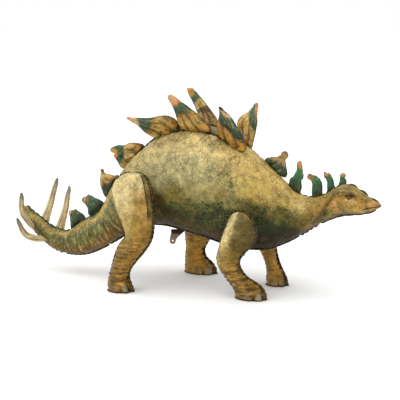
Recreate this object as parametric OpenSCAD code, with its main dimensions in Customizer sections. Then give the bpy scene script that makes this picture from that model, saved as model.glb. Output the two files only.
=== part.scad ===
// Inflatable stegosaurus: air chambers welded from vinyl film panels.
// Nose along +X, left side along +Y, soles on z = 0.

/* [Film] */
// Wall that stands in for the vinyl film
film = 2; // [1.5:0.1:2.5]
// Width of a weld flange, measured out from the seam
flange_w = 5; // [3:0.5:6]
// Thickness of a weld flange
flange_t = 1.6; // [1:0.1:2]

/* [Trunk] */
// Half angle of the back gusset at its widest
back_gusset_angle = 20; // [14:1:24]
// Half angle of the belly gusset at its widest
belly_gusset_angle = 26; // [20:1:30]

/* [Legs] */
// Distance from the middle plane to the middle of a hind leg
hind_leg_y = 160; // [159:1:166]
// Distance from the middle plane to a front leg at its shoulder
shoulder_y = 148; // [147:1:154]
// Distance from the middle plane to a front foot
front_foot_y = 98; // [90:1:104]
// Forward swing of the left hind leg against the right one
left_hind_swing = 25; // [15:1:28]
// Thickness of a sole
sole_t = 3; // [2:0.5:3]

/* [Plates and spikes] */
// Height of a plate's film hinge above its seam
plate_lift = 8; // [7.5:0.5:10]
// Half thickness of a plate's film at its hinge
plate_root = 1.5; // [1:0.1:1.6]
// Largest radius of a tail spike
spike_r = 13; // [10:0.5:14]

/* [Valve and tether tab] */
// Outer radius of the valve stem
stem_r = 6; // [5.5:0.1:6.5]
// Inner radius of the valve stem
stem_bore_r = 3.5; // [3:0.1:4]
// Length of the valve stem
stem_len = 28; // [26:1:30]
// Radius of the hole in the tether tab
tab_hole_r = 3; // [2:0.5:4]
// Radius of the tab's round end
tab_r = 11; // [9:0.5:13]

/* [Hidden] */

// Colours of the printed film
khaki = "#9a9160";
olive = "#7d7a45";
ochre = "#a08a4c";
seam_brown = "#4a4028";
seam_green = "#2f5a44";
plate_orange = "#d19a4e";
plate_green = "#3d6b50";
bone = "#cbb98c";
clear_brown = "#8a6f4a";

// Trunk sections from tail tip to nose: [x, z, lean of the up direction, half height, half width]
TRUNK = [
    [-618, 216, 45, 3, 3],
    [-611, 208, 50, 12, 10],
    [-590, 180, 62, 22, 18],
    [-564, 156, 67, 29, 25],
    [-526, 128, 70, 32, 30],
    [-486, 110, 77, 37, 34],
    [-440, 105, 92, 41, 38],
    [-381, 127, 100, 56, 50],
    [-312, 162, 112, 57, 56],
    [-269, 200, 117, 68, 64],
    [-228, 241, 120, 84, 76],
    [-186, 271, 122, 99, 92],
    [-148, 294, 120, 120, 108],
    [-106, 316, 111, 138, 117],
    [-65, 334, 104, 158, 124],
    [-6, 342, 99, 175, 131],
    [62, 340, 93, 182, 136],
    [129, 320, 90, 177, 134],
    [193, 292, 87, 158, 125],
    [244, 270, 84, 136, 112],
    [296, 248, 78, 109, 92],
    [344, 243, 76, 82, 72],
    [387, 252, 74, 64, 56],
    [429, 273, 74, 53, 46],
    [468, 297, 80, 50, 40],
    [504, 312, 85, 49, 37],
    [536, 312, 87, 43, 31],
    [565, 305, 84, 32, 23],
    [592, 300, 84, 19, 15],
    [616, 301, 88, 7, 7],
    [621, 301, 90, 3, 3]
];
// Stations between which each gusset and each seam runs
BACK = [12, 20];
BELLY = [8, 22];
PLATE_SEAM = [13, 20];
TAIL_RIDGE = [5, 11];
NECK_RIDGE = [21, 25];
SNOUT = [26, 29];
TAIL_KEEL = [3, 7];
THROAT = [23, 28];
LAST = len(TRUNK) - 1;

// Leg sections from top to sole: [x, y, z, lean, half length, half thickness]
hip = [-118, 327];
HIP_WELD = [-104, 305];
SHOULDER_WELD = [226, 254];
HIND_UPPER = [
    [-126, 385, 0, 5, 5],
    [-125, 379, 2, 30, 18],
    [-129, 359, 3, 55, 28],
    [-130, 327, 4, 66, 35],
    [-121, 280, 4, 66, 38],
    [-114, 239, 1, 58, 38]
];
RIGHT_HIND_LOWER = [
    [-107, 197, -2, 48, 35],
    [-112, 170, -10, 43, 33],
    [-134, 140, -14, 43, 32],
    [-155, 108, -12, 38, 30],
    [-171, 75, -7, 32, 29],
    [-178, 44, 2, 34, 31],
    [-177, 18, 4, 41, 35],
    [-173, sole_t + 0.2, 0, 43, 37]
];
LEFT_HIND_LOWER = [
    [-46, 197, 12, 52, 36],
    [-38, 166, 0, 49, 35],
    [-38, 134, -2, 46, 33],
    [-42, 107, 0, 40, 32],
    [-47, 83, 0, 33, 30],
    [-46, 54, 4, 37, 30],
    [-35, 34, 3, 48, 33],
    [-29, 17, 2, 55, 37],
    [-27, sole_t + 0.2, 0, 57, 38]
];
RIGHT_FRONT = [
    [222, 281, 0, 5, 5],
    [225, 275, 0, 20, 14],
    [227, 262, 0, 35, 21],
    [228, 236, 0, 47, 27],
    [214, 189, 5, 56, 29],
    [196, 158, 7, 51, 30],
    [178, 130, 12, 44, 30],
    [173, 105, 16, 35, 28],
    [185, 77, 25, 30, 27],
    [207, 51, 28, 30, 28],
    [232, 32, 16, 42, 31],
    [242, 16, 5, 49, 34],
    [243, sole_t + 0.2, 0, 49, 34]
];
LEFT_FRONT = [
    [222, 281, 0, 5, 5],
    [225, 275, 0, 20, 14],
    [227, 262, 0, 35, 21],
    [228, 236, 0, 47, 27],
    [217, 189, 2, 50, 29],
    [214, 158, 2, 42, 30],
    [224, 130, 8, 33, 30],
    [234, 108, 12, 26, 28],
    [247, 74, 12, 23, 27],
    [257, 46, 12, 26, 28],
    [263, 22, 5, 33, 31],
    [266, sole_t + 0.2, 0, 36, 33]
];

// Plates: [rear end of the base, front end, seam side, tip, half thickness, fullness, colour]
TAIL_PLATE_1 = [-439, -382, 0, [-436, 0, 215], 7, 0.9, plate_green];
TAIL_PLATE_2 = [-363, -315, 0, [-385, 0, 264], 8, 0.9, plate_green];
TAIL_PLATE_3 = [-300, -256, 0, [-318, 0, 362], 9, 0.9, plate_green];
HIP_PLATE = [-228, -170, 0, [-264, -34, 424], 12, 0.9, plate_orange];
BACK_PLATE_1 = [-104, -18, -1, [-178, -95, 544], 14, 0.8, plate_orange];
BACK_PLATE_2 = [-2, 85, -1, [-32, -100, 620], 15, 0.8, plate_orange];
BACK_PLATE_3 = [0, 78, 1, [-39, 90, 632], 15, 0.8, plate_orange];
BACK_PLATE_4 = [116, 190, -1, [134, -95, 590], 14, 0.8, plate_orange];
BACK_PLATE_5 = [122, 196, 1, [186, 105, 589], 13, 0.8, plate_orange];
SHOULDER_PLATE = [250, 292, 1, [317, 22, 446], 10, 0.9, plate_green];
NECK_PLATE_1 = [328, 368, 0, [362, 0, 423], 8, 0.8, plate_green];
NECK_PLATE_2 = [405, 437, 0, [399, 0, 380], 7, 0.9, plate_green];
NECK_PLATE_3 = [447, 477, 0, [449, 0, 392], 7, 0.9, plate_green];
NECK_PLATE_4 = [486, 509, 0, [502, 0, 394], 6, 0.9, plate_green];

// Spikes: [hinge point, middle, tip]
RIGHT_END_SPIKE = [[-566, -31, 142], [-580, -75, 210], [-554, -120, 286]];
LEFT_END_SPIKE = [[-566, 31, 142], [-562, 75, 208], [-554, 120, 302]];
RIGHT_FORE_SPIKE = [[-512, -40, 112], [-566, -76, 132], [-575, -120, 198]];
LEFT_FORE_SPIKE = [[-512, 40, 112], [-502, 72, 190], [-507, 120, 276]];

valve_x = 180;
flange_z = 131.5;
mouth_z = 113;
tab_at = [-62, 0, 139];
tab_top = 176;
tab_t = 1.5;
running = 0.08;

// A section's point at angle a from its first direction, moved in by a wall
function on_section(c, lean, ha, hb, a, wall) =
    let (u = max(ha - wall, 0.4) * cos(a), v = max(hb - wall, 0.4) * sin(a))
    [c[0] + u * cos(lean), c[1] + v, c[2] + u * sin(lean)];

// Closed shell between two equal grids of points, n rows by m columns
function sheet(n, m, start, inward) = [
    for (i = [0:n - 2], j = [0:m - 2])
        let (a = start + i * m + j, b = a + 1, c = a + m, d = c + 1)
        each inward ? [[a, b, d], [a, d, c]] : [[a, d, b], [a, c, d]]
];
function rim(n, m) = let (k = n * m) [
    for (i = [0:n - 2]) each [
        [i * m, i * m + k, (i + 1) * m],
        [(i + 1) * m, i * m + k, (i + 1) * m + k],
        [i * m + m - 1, (i + 1) * m + m - 1, i * m + m - 1 + k],
        [(i + 1) * m + m - 1, (i + 1) * m + m - 1 + k, i * m + m - 1 + k]
    ],
    for (j = [0:m - 2]) each [
        [j, j + 1, j + k],
        [j + 1, j + 1 + k, j + k],
        [(n - 1) * m + j, (n - 1) * m + j + k, (n - 1) * m + j + 1],
        [(n - 1) * m + j + 1, (n - 1) * m + j + k, (n - 1) * m + j + 1 + k]
    ]
];
module shell(outer, inner) {
    n = len(outer);
    m = len(outer[0]);
    polyhedron(
        points = concat([for (r = outer) each r], [for (r = inner) each r]),
        faces = concat(sheet(n, m, 0, false), sheet(n, m, n * m, true), rim(n, m)));
}

// Closed tube through a list of rings, each with k points
module loft(rings) {
    n = len(rings);
    k = len(rings[0]);
    sides = [
        for (i = [0:n - 2], j = [0:k - 1])
            let (a = i * k + j, b = i * k + (j + 1) % k)
            each [[a, b, b + k], [a, b + k, a + k]]
    ];
    ends = [[for (j = [k - 1:-1:0]) j], [for (j = [0:k - 1]) (n - 1) * k + j]];
    polyhedron(points = [for (r = rings) each r], faces = concat(sides, ends));
}

// Half angle of a gusset at station i, pinched to 1 degree at its two ends
function gusset(i, span, widest) =
    i < span[0] || i > span[1] ? 0
    : max(1, widest * pow(max(0, sin(180 * (i - span[0]) / (span[1] - span[0]))), 0.5));
function top_angle(i) = gusset(i, BACK, back_gusset_angle);
function low_angle(i) = 180 - gusset(i, BELLY, belly_gusset_angle);

function trunk_point(i, a, wall) =
    let (s = TRUNK[i]) on_section([s[0], 0, s[1]], s[2], s[3], s[4], a, wall);
function trunk_strip(from, to, a, steps, wall) = [
    for (i = [from:to]) [for (j = [0:steps]) trunk_point(i, a[i][0] + (a[i][1] - a[i][0]) * j / steps, wall)]
];
FLANK_ANGLES = [for (i = [0:LAST]) [top_angle(i), low_angle(i)]];
BACK_ANGLES = [for (i = [0:LAST]) [-top_angle(i), top_angle(i)]];
BELLY_ANGLES = [for (i = [0:LAST]) [low_angle(i), 360 - low_angle(i)]];

module flank() {
    shell(trunk_strip(0, LAST, FLANK_ANGLES, 9, 0), trunk_strip(0, LAST, FLANK_ANGLES, 9, film));
}

// Ribbon along a trunk seam: a flat weld flange that stands out from the film
function seam_frame(i, a) =
    let (s = TRUNK[i],
         out = [cos(a) / s[3] * cos(s[2]), sin(a) / s[4], cos(a) / s[3] * sin(s[2])],
         n = out / norm(out),
         side = [-sin(a) * s[3] * cos(s[2]), cos(a) * s[4], -sin(a) * s[3] * sin(s[2])])
    [trunk_point(i, a, 0), n, side / norm(side)];
function seam_ring(f, w) = [
    for (q = [[0.3, -1], [w, -1], [w, 1], [0.3, 1]]) f[0] + f[1] * q[0] + f[2] * q[1] * flange_t / 2
];
module ribbon(span, angles, w) {
    loft([for (i = [span[0]:span[1]]) seam_ring(seam_frame(i, angles[i]), w)]);
}
UPPER_SEAM = [for (i = [0:LAST]) top_angle(i)];
LOWER_SEAM = [for (i = [0:LAST]) low_angle(i)];

module on_right() { mirror([0, 1, 0]) children(); }
module right_flank() { color(khaki) on_right() flank(); }
module left_flank() { color(khaki) flank(); }
module back_gusset() {
    color(khaki) shell(
        trunk_strip(BACK[0], BACK[1], BACK_ANGLES, 4, 0),
        trunk_strip(BACK[0], BACK[1], BACK_ANGLES, 4, film));
}
module belly_gusset() {
    color(ochre) difference() {
        shell(
            trunk_strip(BELLY[0], BELLY[1], BELLY_ANGLES, 4, 0),
            trunk_strip(BELLY[0], BELLY[1], BELLY_ANGLES, 4, film));
        translate([valve_x, 0, flange_z]) cylinder(r = stem_r + 1, h = 30, $fn = 32);
    }
}
module left_plate_seam() { color(seam_brown) ribbon(PLATE_SEAM, UPPER_SEAM, flange_w * 0.6); }
module right_plate_seam() { on_right() left_plate_seam(); }
module tail_ridge_seam() { color(seam_green) ribbon(TAIL_RIDGE, UPPER_SEAM, flange_w * 0.6); }
module neck_ridge_seam() { color(seam_green) ribbon(NECK_RIDGE, UPPER_SEAM, flange_w * 0.6); }
module snout_seam() { color(seam_brown) ribbon(SNOUT, UPPER_SEAM, flange_w); }
module left_belly_seam() { color(seam_brown) ribbon(BELLY, LOWER_SEAM, flange_w); }
module right_belly_seam() { on_right() left_belly_seam(); }
module tail_keel_seam() { color(seam_brown) ribbon(TAIL_KEEL, LOWER_SEAM, flange_w); }
module throat_seam() { color(seam_brown) ribbon(THROAT, LOWER_SEAM, flange_w); }

// Round weld that joins a leg's inner panel to the flank
module leg_weld(at, r, y) {
    translate([at[0], y, at[1]]) rotate([90, 0, 0]) cylinder(r = r, h = 1.2, center = true, $fn = 48);
}
module right_hip_weld() { color(olive) leg_weld(HIP_WELD, 16, 38.8 - hind_leg_y); }
module left_hip_weld() { color(olive) leg_weld(HIP_WELD, 16, hind_leg_y - 38.8); }
module right_shoulder_weld() { color(olive) leg_weld(SHOULDER_WELD, 13, 28.4 - shoulder_y); }
module left_shoulder_weld() { color(olive) leg_weld(SHOULDER_WELD, 13, shoulder_y - 28.4); }

module valve_flange() {
    color(clear_brown) translate([valve_x, 0, flange_z]) difference() {
        cylinder(r = 18, h = 1.5, $fn = 64);
        translate([0, 0, -1]) cylinder(r = stem_r + running, h = 4, $fn = 64);
    }
}
module tab_weld() {
    color(clear_brown) translate([tab_at[0] - 2, -3, tab_top + 1.5]) cube([44, 6, 1.5]);
}

// Legs: each ring is split into an outer panel, a front gusset and an inner panel
function hind_upper(swing) = [
    for (s = HIND_UPPER)
        let (dx = s[0] - hip[0], dz = s[1] - hip[1])
        [hip[0] + dx * cos(swing) - dz * sin(swing), hip[1] + dx * sin(swing) + dz * cos(swing),
         s[2] + swing, s[3], s[4]]
];
function hind_leg(swing, lower) = [
    for (s = concat(hind_upper(swing), lower)) [s[0], hind_leg_y, s[1], s[2], s[3], s[4]]
];
// A front leg leans in from the shoulder to the foot
function front_y(z) = lookup(z, [[50, front_foot_y], [120, front_foot_y + 7],
    [170, front_foot_y + 26], [232, shoulder_y]]);
function front_leg(sections) = [for (s = sections) [s[0], front_y(s[1]), s[1], s[2], s[3], s[4]]];
function leg_grid(leg, from, to, steps, wall) = [
    for (s = leg) [
        for (j = [0:steps])
            on_section([s[0], s[1], s[2]], s[3], s[4], s[5], from + (to - from) * j / steps, wall)
    ]
];
gusset_half = 10;
module leg_panel(leg, from, to, steps) {
    shell(leg_grid(leg, from, to, steps, 0), leg_grid(leg, from, to, steps, film));
}
module leg_outer(leg) { leg_panel(leg, gusset_half, 180, 6); }
module leg_inner(leg) { leg_panel(leg, 180, 360 - gusset_half, 6); }
module leg_gusset(leg) { leg_panel(leg, -gusset_half, gusset_half, 1); }
module leg_sole(leg) {
    s = leg[len(leg) - 1];
    translate([s[0], s[1], 0]) linear_extrude(height = sole_t)
        polygon([for (a = [0:15:345]) [(s[4] + 1.5) * cos(a), (s[5] + 1.5) * sin(a)]]);
}
RIGHT_HIND = hind_leg(0, RIGHT_HIND_LOWER);
LEFT_HIND = hind_leg(left_hind_swing, LEFT_HIND_LOWER);
RIGHT_FORE = front_leg(RIGHT_FRONT);
LEFT_FORE = front_leg(LEFT_FRONT);

module right_hind_outer() { color(ochre) on_right() leg_outer(RIGHT_HIND); }
module right_hind_inner() { color(olive) on_right() leg_inner(RIGHT_HIND); }
module right_hind_gusset() { color(olive) on_right() leg_gusset(RIGHT_HIND); }
module right_hind_sole() { color(seam_brown) on_right() leg_sole(RIGHT_HIND); }
module left_hind_outer() { color(ochre) leg_outer(LEFT_HIND); }
module left_hind_inner() { color(olive) leg_inner(LEFT_HIND); }
module left_hind_gusset() { color(olive) leg_gusset(LEFT_HIND); }
module left_hind_sole() { color(seam_brown) leg_sole(LEFT_HIND); }
module right_front_outer() { color(ochre) on_right() leg_outer(RIGHT_FORE); }
module right_front_inner() { color(olive) on_right() leg_inner(RIGHT_FORE); }
module right_front_gusset() { color(olive) on_right() leg_gusset(RIGHT_FORE); }
module right_front_sole() { color(seam_brown) on_right() leg_sole(RIGHT_FORE); }
module left_front_outer() { color(ochre) leg_outer(LEFT_FORE); }
module left_front_inner() { color(olive) leg_inner(LEFT_FORE); }
module left_front_gusset() { color(olive) leg_gusset(LEFT_FORE); }
module left_front_sole() { color(seam_brown) leg_sole(LEFT_FORE); }

// Plates stand on the seams, a longer one higher, because its base is straight and the back curves
SEAM_X = [for (i = [0:LAST]) trunk_point(i, top_angle(i), 0)];
SEAM_Y_AT = [for (p = SEAM_X) [p[0], p[1]]];
SEAM_Z_AT = [for (p = SEAM_X) [p[0], p[2]]];
function on_seam(x, side, lift) = [x, side * (lookup(x, SEAM_Y_AT) + 1), lookup(x, SEAM_Z_AT) + lift];

// Half width of a plate at height v from its base, 0 to 1
function plate_width(v, fullness) = pow(1 - v, 0.62) * (1 + fullness * 0.9 * v) * 0.98 + 0.02;
function plate_thickness(v) = sin(180 * pow(v, 0.6)) * 0.8 + 0.2 * (1 - v);
module plate(p) {
    lift = plate_lift + 0.05 * (p[1] - p[0]);
    rear = on_seam(p[0], p[2], lift);
    front = on_seam(p[1], p[2], lift);
    root = (rear + front) / 2;
    along = (front - rear) / norm(front - rear);
    half = norm(front - rear) / 2;
    rise = p[3] - root;
    n = cross(along, rise) / norm(cross(along, rise));
    color(p[6]) loft([
        for (v = [0, 0.06, 0.18, 0.34, 0.52, 0.7, 0.86, 1])
            let (w = half * plate_width(v, p[5]), t = max(plate_root, p[4] * plate_thickness(v)))
            [for (a = [0:36:324]) root + rise * v + along * w * cos(a) - n * t * sin(a)]
    ]);
}
module tail_plate_1() { plate(TAIL_PLATE_1); }
module tail_plate_2() { plate(TAIL_PLATE_2); }
module tail_plate_3() { plate(TAIL_PLATE_3); }
module hip_plate() { plate(HIP_PLATE); }
module back_plate_1() { plate(BACK_PLATE_1); }
module back_plate_2() { plate(BACK_PLATE_2); }
module back_plate_3() { plate(BACK_PLATE_3); }
module back_plate_4() { plate(BACK_PLATE_4); }
module back_plate_5() { plate(BACK_PLATE_5); }
module shoulder_plate() { plate(SHOULDER_PLATE); }
module neck_plate_1() { plate(NECK_PLATE_1); }
module neck_plate_2() { plate(NECK_PLATE_2); }
module neck_plate_3() { plate(NECK_PLATE_3); }
module neck_plate_4() { plate(NECK_PLATE_4); }

// Spike: a curved cone along a quadratic curve, rounded where it meets the tail
function bend(p, t) = p[0] * pow(1 - t, 2) + (2 * p[1] - (p[0] + p[2]) / 2) * 2 * t * (1 - t) + p[2] * t * t;
function spike_radius(t) = spike_r * (t < 0.1 ? 0.3 + 7 * t : pow(1 - t, 0.45) * 0.95 + 0.07);
module spike(p) {
    color(bone) loft([
        for (t = [0, 0.04, 0.1, 0.25, 0.4, 0.55, 0.7, 0.85, 1])
            let (d = bend(p, t + 0.01) - bend(p, t), w = d / norm(d),
                 u = cross([1, 0, 0], w) / norm(cross([1, 0, 0], w)), v = cross(w, u))
            [for (a = [0:36:324]) bend(p, t) + (u * cos(a) + v * sin(a)) * spike_radius(t)]
    ]);
}
module spike_right_end() { spike(RIGHT_END_SPIKE); }
module spike_left_end() { spike(LEFT_END_SPIKE); }
module spike_right_fore() { spike(RIGHT_FORE_SPIKE); }
module spike_left_fore() { spike(LEFT_FORE_SPIKE); }

module tether_tab() {
    neck = [tab_at[0] + 24, tab_top - 18];
    outline = concat(
        [[tab_at[0], tab_top], [tab_at[0] + 40, tab_top], neck],
        [for (a = [20:-10:-200]) [tab_at[0] + tab_r * cos(a), tab_at[2] + tab_r * sin(a)]]);
    color(clear_brown) translate([0, tab_t / 2, 0]) rotate([90, 0, 0]) linear_extrude(height = tab_t)
        difference() {
            polygon(outline);
            translate([tab_at[0], tab_at[2]]) circle(r = tab_hole_r, $fn = 48);
        }
}
module valve_stem() {
    color(clear_brown) translate([valve_x, 0, mouth_z]) difference() {
        union() {
            cylinder(r = stem_r, h = stem_len, $fn = 64);
            cylinder(r = stem_r + 2.5, h = 2, $fn = 64);
            translate([0, 0, stem_len - 1.5]) cylinder(r = stem_r + 2.5, h = 1.5, $fn = 64);
        }
        translate([0, 0, -1]) cylinder(r = stem_bore_r, h = stem_len + 2, $fn = 64);
    }
}
module valve_plug() {
    plug_len = 14;
    color(clear_brown) translate([valve_x, 0, mouth_z - 2.3]) union() {
        cylinder(r = stem_r + 2, h = 2, $fn = 64);
        cylinder(r = stem_bore_r - 0.05, h = plug_len, $fn = 64);
    }
}

right_flank();
left_flank();
back_gusset();
belly_gusset();
right_plate_seam();
left_plate_seam();
tail_ridge_seam();
neck_ridge_seam();
snout_seam();
right_belly_seam();
left_belly_seam();
tail_keel_seam();
throat_seam();
right_hip_weld();
left_hip_weld();
right_shoulder_weld();
left_shoulder_weld();
valve_flange();
tab_weld();
right_hind_outer();
right_hind_inner();
right_hind_gusset();
right_hind_sole();
left_hind_outer();
left_hind_inner();
left_hind_gusset();
left_hind_sole();
right_front_outer();
right_front_inner();
right_front_gusset();
right_front_sole();
left_front_outer();
left_front_inner();
left_front_gusset();
left_front_sole();
tail_plate_1();
tail_plate_2();
tail_plate_3();
hip_plate();
back_plate_1();
back_plate_2();
back_plate_3();
back_plate_4();
back_plate_5();
shoulder_plate();
neck_plate_1();
neck_plate_2();
neck_plate_3();
neck_plate_4();
spike_right_end();
spike_left_end();
spike_right_fore();
spike_left_fore();
tether_tab();
valve_stem();
valve_plug();
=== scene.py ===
import math

import bmesh
import bpy
import numpy as np
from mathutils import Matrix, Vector


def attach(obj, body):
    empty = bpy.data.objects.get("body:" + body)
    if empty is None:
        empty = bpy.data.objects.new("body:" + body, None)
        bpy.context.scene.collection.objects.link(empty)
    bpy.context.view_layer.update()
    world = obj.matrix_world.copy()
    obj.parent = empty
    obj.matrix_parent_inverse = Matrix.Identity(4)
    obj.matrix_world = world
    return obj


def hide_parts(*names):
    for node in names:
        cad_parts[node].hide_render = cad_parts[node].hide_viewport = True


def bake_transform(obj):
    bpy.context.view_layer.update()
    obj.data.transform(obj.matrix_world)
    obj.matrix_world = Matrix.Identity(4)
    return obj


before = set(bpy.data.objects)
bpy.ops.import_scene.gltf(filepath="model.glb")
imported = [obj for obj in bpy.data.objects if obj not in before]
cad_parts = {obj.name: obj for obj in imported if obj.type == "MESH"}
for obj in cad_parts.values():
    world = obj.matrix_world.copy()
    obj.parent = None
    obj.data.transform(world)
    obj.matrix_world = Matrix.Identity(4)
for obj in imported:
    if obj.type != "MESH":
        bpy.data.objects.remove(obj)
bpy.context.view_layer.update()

# Trunk: four panels of printed vinyl film, two flanks with a back and a belly gusset between them.
# They are welded edge to edge and blown up tight, so the film bulges between its seams, dips into them
# and gathers in small puckers beside each weld.

MM = 0.001
# Stations from the tail tip to the nose: x and z in mm, lean of the up direction in degrees,
# half height and half width in mm.
TRUNK = [
    [-618, 216, 45, 3, 3], [-611, 208, 50, 12, 10], [-590, 180, 62, 22, 18], [-564, 156, 67, 29, 25],
    [-526, 128, 70, 32, 30], [-486, 110, 77, 37, 34], [-440, 105, 92, 41, 38], [-381, 127, 100, 56, 50],
    [-312, 162, 112, 57, 56], [-269, 200, 117, 68, 64], [-228, 241, 120, 84, 76], [-186, 271, 122, 99, 92],
    [-148, 294, 120, 120, 108], [-106, 316, 111, 138, 117], [-65, 334, 104, 158, 124],
    [-6, 342, 99, 175, 131],
    [62, 340, 93, 182, 136], [129, 320, 90, 177, 134], [193, 292, 87, 158, 125], [244, 270, 84, 136, 112],
    [296, 248, 78, 109, 92], [344, 243, 76, 82, 72], [387, 252, 74, 64, 56], [429, 273, 74, 53, 46],
    [468, 297, 80, 50, 40], [504, 312, 85, 49, 37], [536, 312, 87, 43, 31], [565, 305, 84, 32, 23],
    [592, 300, 84, 19, 15], [616, 301, 88, 7, 7], [621, 301, 90, 3, 3],
]
NOSE = len(TRUNK) - 1


def through(rows, place):
    """Smooth curve through rows at place, counted in rows: on each stretch a cubic whose slope at a row
    is half the step from the row before it to the row after it."""
    rows = np.asarray(rows, float)
    rows = np.vstack([2 * rows[0] - rows[1], rows, 2 * rows[-1] - rows[-2]])
    first = np.clip(np.floor(place).astype(int), 0, len(rows) - 4)
    f = (place - first)[..., None]
    a, b, c, d = (rows[first + step] for step in range(4))
    return b + f * ((c - a) / 2 + f * (a - 2.5 * b + 2 * c - d / 2 + f * (1.5 * (b - c) + (d - a) / 2)))


def even_places(rows, start, end, count):
    """Places from start to end that lie evenly along the curve through the first two columns of rows."""
    fine = np.linspace(start, end, 4000)
    steps = np.diff(through(rows, fine)[:, :2], axis=0)
    run = np.concatenate([[0], np.cumsum(np.linalg.norm(steps, axis=1))])
    return np.interp(np.linspace(0, run[-1], count), run, fine)


def arch(place, start, end, angle):
    """Half angle of a gusset: angle times the root of half a sine wave from start to end, 1 outside."""
    wave = np.sin(np.pi * np.clip((place - start) / (end - start), 0, 1))
    return np.maximum(1.0, angle * np.sqrt(np.maximum(wave, 0)))


def back_edge(place):
    """Angle from the top of the trunk down to the edge of the back gusset."""
    return arch(place, 12, 20, 20)


def belly_edge(place):
    """Angle from the top of the trunk down to the edge of the belly gusset."""
    return 180 - arch(place, 8, 22, 26)


def trunk_point(place, turn):
    """Station centre + up x half height x cos(turn) + Y x half width x sin(turn); turn is in degrees
    from the top."""
    x, z, lean, high, wide = np.moveaxis(through(TRUNK, place), -1, 0)
    lean, turn = np.radians(lean), np.radians(turn)
    rise = high * np.cos(turn)
    return MM * np.stack([x + np.cos(lean) * rise, wide * np.sin(turn), z + np.sin(lean) * rise], -1)


def unit(vectors, least=1e-12):
    """Vectors divided by their lengths, or by least where they are shorter than that."""
    return vectors / np.maximum(np.linalg.norm(vectors, axis=-1, keepdims=True), least)


def outward(points, core):
    """Unit normals of a grid surface: the cross product of its two slopes, turned away from core."""
    normal = unit(np.cross(np.gradient(points, axis=0), np.gradient(points, axis=1)))
    return normal * np.sign(np.sum(normal * (points - core), -1, keepdims=True))


def ripple(points, size, seed):
    """Smooth unevenness of about -1 to 1: the sum of 14 plane sine waves of about the wavelength size."""
    pick = np.random.default_rng(seed)
    wave = pick.normal(size=(14, 3))
    wave *= 2 * np.pi / size * pick.uniform(0.7, 1.5, (14, 1)) / np.linalg.norm(wave, axis=1, keepdims=True)
    return np.sin(points @ wave.T + pick.uniform(0, 2 * np.pi, 14)).sum(-1) / math.sqrt(14)


def run_along(points, axis=0):
    """Length from the first row to each row of a grid, in metres."""
    step = np.linalg.norm(np.diff(points, axis=axis), axis=-1)
    pad = [(1, 0) if k == axis else (0, 0) for k in range(step.ndim)]
    return np.cumsum(np.pad(step, pad), axis=axis)


PUCKER_STEP = 0.0165
PUCKER_REACH = 0.018
DIP_REACH = 0.007


def seam_relief(gap, run, seed, depth=0.0035, pucker=0.0010):
    """Height of the film at a gap from a weld: it dips to the seam and gathers in puckers beside it, as a
    sine wave with an uneven step that dies away from the weld."""
    wave = np.sin(2 * np.pi * run / PUCKER_STEP + 2.5 * np.sin(run / 0.043 + seed) + seed)
    return pucker * wave * np.exp(-gap / PUCKER_REACH) - depth * np.exp(-gap / DIP_REACH)


def line_gap(points, corners):
    """Distance in side view from the line through corners, given as x and z in mm."""
    flat = points[..., [0, 2]]
    corners = MM * np.asarray(corners, float)
    gap = np.full(flat.shape[:-1], 9.0)
    for start, end in zip(corners[:-1], corners[1:]):
        along = np.clip((flat - start) @ (end - start) / ((end - start) @ (end - start)), 0, 1)
        gap = np.minimum(gap, np.linalg.norm(flat - start - along[..., None] * (end - start), axis=-1))
    return gap


def bell(value, width):
    """1 where value is 0, falling as a bell curve to a third at width."""
    return np.exp(-((value / width) ** 2))


def stroke(points, corners, size):
    """A soft line in side view through corners, in mm: 1 on it, a third at size in mm beside it."""
    return bell(line_gap(points, corners), MM * size)


def oval(points, x, z, long, high, tilt=0):
    """A soft oval print in side view: 1 inside and 0 outside, falling evenly across its edge; centre and
    half sizes in mm, tilt in degrees."""
    turn = math.radians(tilt)
    dx, dz = points[..., 0] / MM - x, points[..., 2] / MM - z
    reach = np.hypot((dx * math.cos(turn) + dz * math.sin(turn)) / long,
                     (dz * math.cos(turn) - dx * math.sin(turn)) / high)
    return np.clip(1.6 - 1.2 * reach, 0, 1)


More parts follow.
